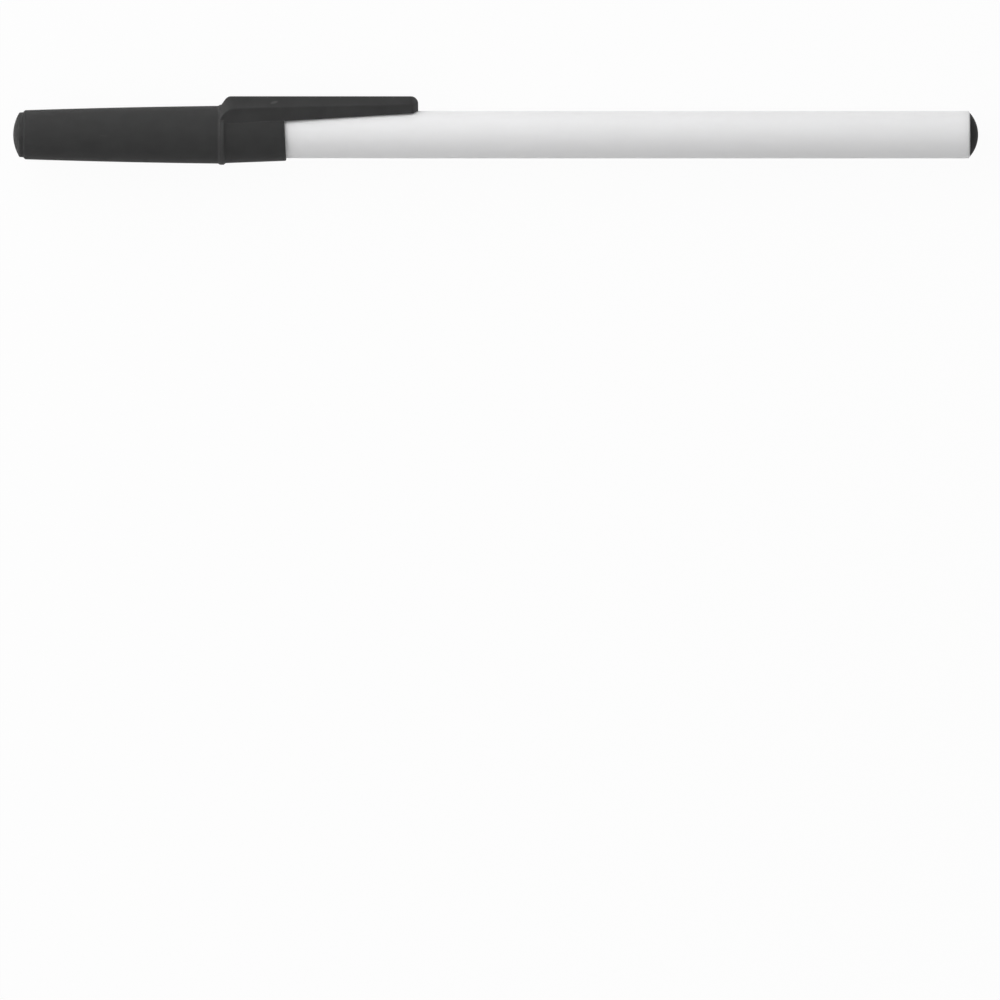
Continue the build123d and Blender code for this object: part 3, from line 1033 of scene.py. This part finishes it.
class PEN_OT_cap(bpy.types.Operator):
    """Make the cap with its clip as one moulding"""

    bl_idname = "pen.cap"
    bl_label = "Cap with clip"

    def execute(self, context):
        cap = context.scene.pen_cap
        clip = context.scene.pen_clip
        piece = solid_cap(cap)
        combine(piece, clip_wedge(cap, clip), "UNION")
        combine(piece, cap_bore(cap, clip, context.scene.pen_plugs), "DIFFERENCE")
        if not piece.data.polygons:
            raise RuntimeError("the cap came out empty")
        band_middle = cap_collar_place(cap) + cap.highlight_middle
        mark_place = clip_bevel_place(cap, clip, clip.mark_setback, clip.mark_drop)
        mark_size = (clip.mark_length / 2, clip.mark_width / 2, clip.bevel_root)
        tip_place = (clip_tip, (clip_top + clip.tip_foot) / 2, axis_height)
        tip_size = (clip.tip_light_reach, clip.tip_width, clip.tip_width)
        seam = shell_end + cap.end_edge_length / 2
        marks = (
            # painted shade on the closed end's chamfer
            (cap.seam_shade_tone, add_painted_shading_band, seam, cap.seam_shade_half, collar_radius),
            # a painted highlight on the ring's crest
            (cap.highlight_tone, add_painted_shading_band, band_middle, cap.highlight_half, cap.highlight_end),
            # a lighter patch on the bevel
            (clip.mark_tone, add_bright_patch, mark_place, mark_size, clip.mark_lean),
            # painted light on the clip's tip, for light thrown up from the barrel
            (clip.tip_light_tone, add_bright_patch, tip_place, tip_size, 0.0),
        )
        values = {"gloss": 0.12, "rough_low": 0.70, "rough_high": 0.76, "depth": 0.003 * MM}
        black = textured_black_plastic("Textured black plastic", cap.black, marks, **values)
        finish_surface(piece, black)
        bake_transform(piece)
        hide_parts("cap_shell", "clip")
        return {"FINISHED"}


def add_light_path_mask(tree):
    """One for the rays that the eye, a mirror or a lens sends out, nothing for the rest."""
    path = tree.nodes.new("ShaderNodeLightPath")
    seen = add_math(tree, "MAXIMUM", path.outputs["Is Camera Ray"], path.outputs["Is Glossy Ray"])
    return add_math(tree, "MAXIMUM", seen, path.outputs["Is Transmission Ray"])


def add_white_light(tree, kind, strength):
    """The shader of a node that gives plain white light."""
    values = {"Color": (1.0, 1.0, 1.0, 1.0), "Strength": strength}
    return add_node(tree, kind, values).outputs[0]


def mix_to_output(tree, share, first, second, output):
    """Sends a mix of two shaders to the output."""
    mix = add_node(tree, "ShaderNodeMixShader", {"Fac": share, 1: first, 2: second})
    add_node(tree, output, {"Surface": mix.outputs["Shader"]})


def pale_floor(stage):
    """Floor that reads as white and keeps the shadow."""
    material = bpy.data.materials.new("Pale floor")
    material.use_nodes = True
    tree = material.node_tree
    tree.nodes.clear()
    matt = add_node(tree, "ShaderNodeBsdfDiffuse", {"Color": (*stage.floor_colour, 1.0)})
    glow = add_white_light(tree, "ShaderNodeEmission", 1.0)
    share = add_math(tree, "MULTIPLY", add_light_path_mask(tree), stage.floor_glow)
    mix_to_output(tree, share, matt.outputs["BSDF"], glow, "ShaderNodeOutputMaterial")
    return material


def studio_world(stage):
    """Even light from all round, behind a white backdrop."""
    world = bpy.data.worlds.new("Studio")
    world.use_nodes = True
    tree = world.node_tree
    tree.nodes.clear()
    fill = add_white_light(tree, "ShaderNodeBackground", stage.fill)
    backdrop = add_white_light(tree, "ShaderNodeBackground", 1.0)
    mix_to_output(tree, add_light_path_mask(tree), fill, backdrop, "ShaderNodeOutputWorld")
    return world


def soft_box(name, strength, way, distance, size):
    """A square lamp that gives a white surface facing it, at the pen's middle, that strength."""
    lamp = bpy.data.lights.new(name, "AREA")
    lamp.energy = strength * (math.pi * distance) ** 2
    lamp.size = size
    box = bpy.data.objects.new(name, lamp)
    box.location = way * distance
    box.rotation_mode = "QUATERNION"
    box.rotation_quaternion = way.to_track_quat("Z", "Y")
    bpy.context.scene.collection.objects.link(box)


class PEN_OT_stage(bpy.types.Operator):
    """Set the floor, the light and the camera"""

    bl_idname = "pen.stage"
    bl_label = "Stage"

    def execute(self, context):
        stage = context.scene.pen_stage
        context.scene.view_settings.view_transform = "Standard"
        context.scene.world = studio_world(stage)

        bm = bmesh.new()
        bmesh.ops.create_circle(bm, cap_ends=True, radius=stage.floor_radius, segments=FLOOR_STEPS)
        floor = mesh_object(bm, "floor")
        floor.data.materials.append(pale_floor(stage))

        end_way = Vector((-math.sin(stage.end_tilt), 0.0, math.cos(stage.end_tilt)))
        side_way = Vector((0.0, math.sin(stage.side_tilt), math.cos(stage.side_tilt)))
        side_way.rotate(Matrix.Rotation(stage.side_turn, 3, "Z"))
        soft_box("end_light", stage.end_light, end_way, stage.end_distance, stage.box_size)
        soft_box("side_light", stage.side_light, side_way, stage.side_distance, stage.box_size)

        lens = bpy.data.cameras.new("camera")
        tilt = math.asin(stage.view_drop / stage.camera_distance)
        lens.lens = lens.sensor_width * stage.camera_distance * math.cos(tilt) / stage.view_width
        lens.clip_end = stage.floor_radius * 4
        camera = bpy.data.objects.new("camera", lens)
        camera.location = (stage.view_side, 0.0, axis_height + stage.camera_distance)
        camera.rotation_euler = (-tilt, 0.0, 0.0)
        context.scene.collection.objects.link(camera)
        context.scene.camera = camera
        return {"FINISHED"}


OPERATORS = (
    PEN_OT_barrel,
    PEN_OT_end_plug,
    PEN_OT_nose_cone,
    PEN_OT_brass_point,
    PEN_OT_ball,
    PEN_OT_ink,
    PEN_OT_cap,
    PEN_OT_cap_plug,
    PEN_OT_stage,
)

SETTINGS = {
    "pen_barrel": PenBarrelSettings,
    "pen_plugs": PenPlugSettings,
    "pen_refill": PenRefillSettings,
    "pen_cap": PenCapSettings,
    "pen_clip": PenClipSettings,
    "pen_stage": PenStageSettings,
}


class PEN_PT_pieces(bpy.types.Panel):
    """The pen's pieces and their settings"""

    bl_idname = "PEN_PT_pieces"
    bl_label = "Stick ballpoint pen"
    bl_space_type = "VIEW_3D"
    bl_region_type = "UI"
    bl_category = "Pen"

    def draw(self, context):
        for operator in OPERATORS:
            self.layout.operator(operator.bl_idname)
        for name, group in SETTINGS.items():
            box = self.layout.box()
            box.label(text=group.__doc__)
            for key in group.__annotations__:
                box.prop(getattr(context.scene, name), key)


def register():
    for group in SETTINGS.values():
        bpy.utils.register_class(group)
    for operator in OPERATORS:
        bpy.utils.register_class(operator)
    bpy.utils.register_class(PEN_PT_pieces)
    for name, group in SETTINGS.items():
        setattr(bpy.types.Scene, name, bpy.props.PointerProperty(type=group))


def unregister():
    for name in SETTINGS:
        delattr(bpy.types.Scene, name)
    bpy.utils.unregister_class(PEN_PT_pieces)
    for operator in reversed(OPERATORS):
        bpy.utils.unregister_class(operator)
    for group in reversed(SETTINGS.values()):
        bpy.utils.unregister_class(group)


def main():
    register()
    bpy.ops.pen.barrel()
    bpy.ops.pen.end_plug()
    bpy.ops.pen.nose_cone()
    bpy.ops.pen.brass_point()
    bpy.ops.pen.ball()
    bpy.ops.pen.ink()
    bpy.ops.pen.cap()
    bpy.ops.pen.cap_plug()
    bpy.ops.pen.stage()


if __name__ == "__main__":
    main()
